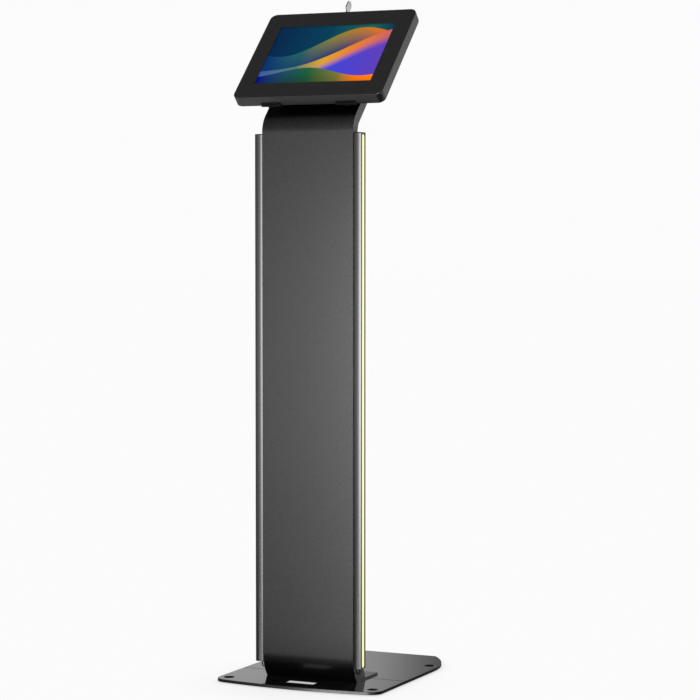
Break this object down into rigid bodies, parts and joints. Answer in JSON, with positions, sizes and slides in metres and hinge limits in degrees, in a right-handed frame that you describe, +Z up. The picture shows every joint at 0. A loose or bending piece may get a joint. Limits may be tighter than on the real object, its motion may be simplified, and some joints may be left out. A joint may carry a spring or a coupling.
{
  "type": "touchscreen kiosk",
  "caption": "Free-standing floor kiosk: flat steel base, bent sheet column with lit side rails, and a tilted, lockable, swivelling head holding a tablet.",
  "frame": {"origin": "middle of the base's underside, on the floor", "axes": "+Z up, -Y towards the person using the screen, X across the kiosk"},
  "size_m": [0.32, 0.384, 1.2195],
  "materials": {
    "gloss_black": "glossy black lacquered steel",
    "powder_coat": "fine-grained charcoal powder coat",
    "satin_black": "satin black powder coat",
    "anodised": "dark grey anodised aluminium",
    "dark_cap": "black moulded plastic",
    "light": "pale yellow lit diffuser",
    "circuit": "off-white circuit strip",
    "rubber": "matt black rubber",
    "dark_steel": "blackened steel",
    "steel": "satin nickel-plated steel",
    "tablet_shell": "bead-blasted aluminium",
    "tablet_glass": "clear cover glass",
    "display": "lit display panel with an abstract colour picture"
  },
  "bodies": {
    "stand": {"base_front_plate": "gloss_black", "base_rear_plate": "gloss_black", "base_pad_left": "rubber", "base_pad_right": "rubber", "foot_plate": "powder_coat", "foot_bolt_front_left": "dark_steel", "foot_bolt_front_right": "dark_steel", "foot_bolt_rear_left": "dark_steel", "foot_bolt_rear_right": "dark_steel", "column_channel": "powder_coat", "column_rear_cover": "powder_coat", "rear_cover_screw_bottom_left": "dark_steel", "rear_cover_screw_bottom_right": "dark_steel", "rear_cover_screw_top_left": "dark_steel", "rear_cover_screw_top_right": "dark_steel", "power_inlet": "dark_cap", "left_rail": "anodised", "left_rail_cap": "dark_cap", "left_light_strip": "circuit", "left_diffuser": "light", "left_rail_cable": "rubber", "right_rail": "anodised", "right_rail_cap": "dark_cap", "right_light_strip": "circuit", "right_diffuser": "light", "right_rail_cable": "rubber", "power_supply": "dark_cap", "tablet_cable": "rubber", "swivel_fixed_disc": "dark_steel", "swivel_screw_1": "dark_steel", "swivel_screw_2": "dark_steel", "swivel_screw_3": "dark_steel", "swivel_screw_4": "dark_steel"},
    "head": {"swivel_turning_disc": "dark_steel", "swivel_pivot_tube": "steel", "swivel_pivot_nut": "steel", "back_plate": "powder_coat", "corner_clip_lower_left": "rubber", "corner_clip_lower_right": "rubber", "corner_clip_upper_left": "rubber", "corner_clip_upper_right": "rubber", "tablet_body": "tablet_shell", "tablet_glass": "tablet_glass", "tablet_display": "display", "tablet_lead": "rubber", "left_hinge_plate_leaf": "satin_black", "right_hinge_plate_leaf": "satin_black", "left_hinge_pin": "dark_steel", "right_hinge_pin": "dark_steel", "lock_keeper": "steel"},
    "cover": {"front_cover": "satin_black", "window_gasket": "rubber", "left_hinge_cover_leaf": "satin_black", "right_hinge_cover_leaf": "satin_black", "lock_barrel": "steel", "lock_nut": "steel"},
    "lock": {"lock_plug": "steel", "lock_cam": "steel"},
    "key": {"key": "steel"},
    "power_button": {"tablet_power_button": "tablet_shell"}
  },
  "joints": [
    {"name": "head_turn", "type": "hinge", "parent": "stand", "child": "head", "pos_m": [0, -0.03169, 1.09699], "axis": [0, -0.7071, 0.7071], "range_deg": [0, 90]},
    {"name": "cover_open", "type": "hinge", "parent": "head", "child": "cover", "pos_m": [0, -0.11979, 1.02359], "axis": [1, 0, 0], "range_deg": [0, 110]},
    {"name": "key_turn", "type": "hinge", "parent": "cover", "child": "lock", "pos_m": [0, 0.02912, 1.18467], "axis": [0, 0.7071, 0.7071], "range_deg": [-90, 0]},
    {"name": "key_withdraw", "type": "slide", "parent": "lock", "child": "key", "axis": [0, 0.7071, 0.7071], "range_m": [0, 0.02]},
    {"name": "power_press", "type": "slide", "parent": "head", "child": "power_button", "axis": [0, -0.7071, -0.7071], "range_m": [0, 0.0003]}
  ]
}
